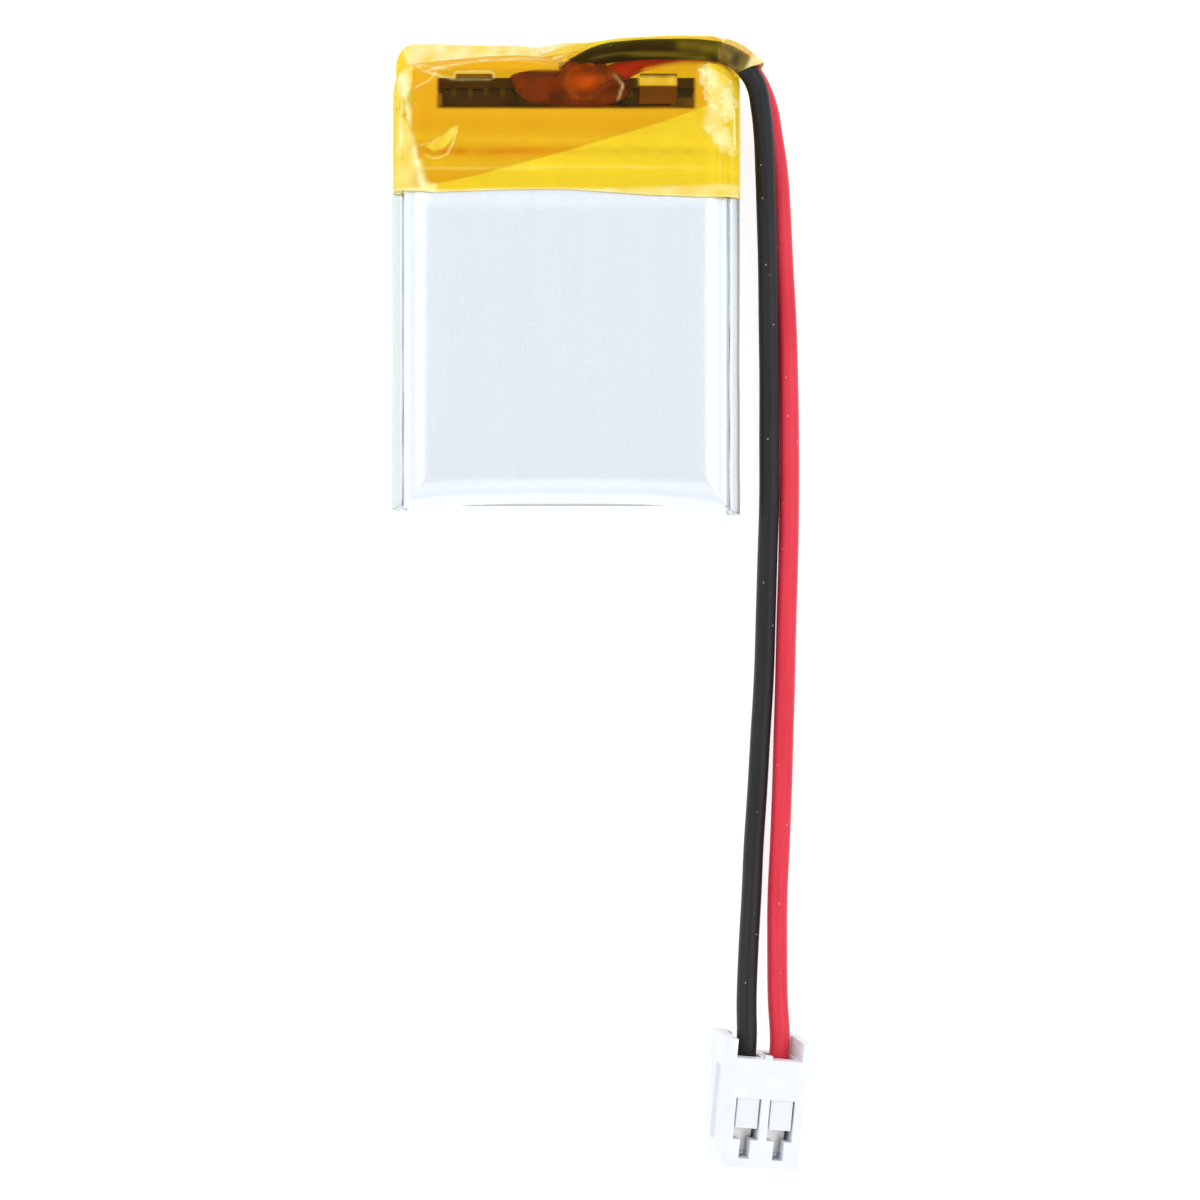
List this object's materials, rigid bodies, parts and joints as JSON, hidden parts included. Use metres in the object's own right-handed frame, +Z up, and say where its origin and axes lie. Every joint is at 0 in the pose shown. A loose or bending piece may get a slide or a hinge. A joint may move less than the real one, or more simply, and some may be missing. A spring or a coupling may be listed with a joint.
{
  "type": "lithium polymer battery pack",
  "caption": "Small flat foil-pouch rechargeable cell with a taped protection board at one end and a red and black wire pair to a white crimp connector.",
  "frame": {"origin": "centre of the box of the pack itself, without its wires and connector, at the surface that it lies on", "axes": "+Z up, out of the flat top face; +Y towards the taped head with the protection board; +X towards the side that the wires run along"},
  "size_m": [0.0248, 0.0662, 0.0053],
  "materials": {
    "pouch_foil": "satin",
    "cathode_coating": "matt",
    "anode_coating": "matt",
    "separator_film": "matt",
    "roll_tape": "satin",
    "nickel": "satin",
    "tab_aluminium": "satin",
    "sealing_film": "satin",
    "insulating_paper": "matt",
    "board_laminate": "satin",
    "chip_epoxy": "matt",
    "tinned_metal": "satin",
    "resistor_body": "satin",
    "capacitor_body": "satin",
    "solder": "glossy",
    "polyimide_tape": "glossy, amber and see-through",
    "black_insulation": "satin",
    "red_insulation": "satin",
    "copper": "bright",
    "white_nylon": "satin",
    "contact_metal": "satin"
  },
  "bodies": {
    "root": {"pouch_cup": "pouch_foil", "pouch_cover": "pouch_foil", "cathode_sheet": "cathode_coating", "anode_sheet": "anode_coating", "inner_separator": "separator_film", "outer_separator": "separator_film", "winding_tape": "roll_tape", "negative_tab": "nickel", "positive_tab": "tab_aluminium", "negative_tab_film": "sealing_film", "positive_tab_film": "sealing_film", "board_insulator": "insulating_paper", "circuit_board": "board_laminate", "mosfet_chip": "chip_epoxy", "protection_chip": "chip_epoxy", "chip_leads": "tinned_metal", "chip_resistors": "resistor_body", "chip_capacitor": "capacitor_body", "weld_strips": "nickel", "negative_solder": "solder", "positive_solder": "solder", "inner_tape": "polyimide_tape", "outer_tape": "polyimide_tape", "wire_tape": "polyimide_tape", "black_wire": "black_insulation", "red_wire": "red_insulation", "black_strands": "copper", "red_strands": "copper", "connector_housing": "white_nylon", "black_terminal": "contact_metal", "red_terminal": "contact_metal"}
  },
  "joints": []
}
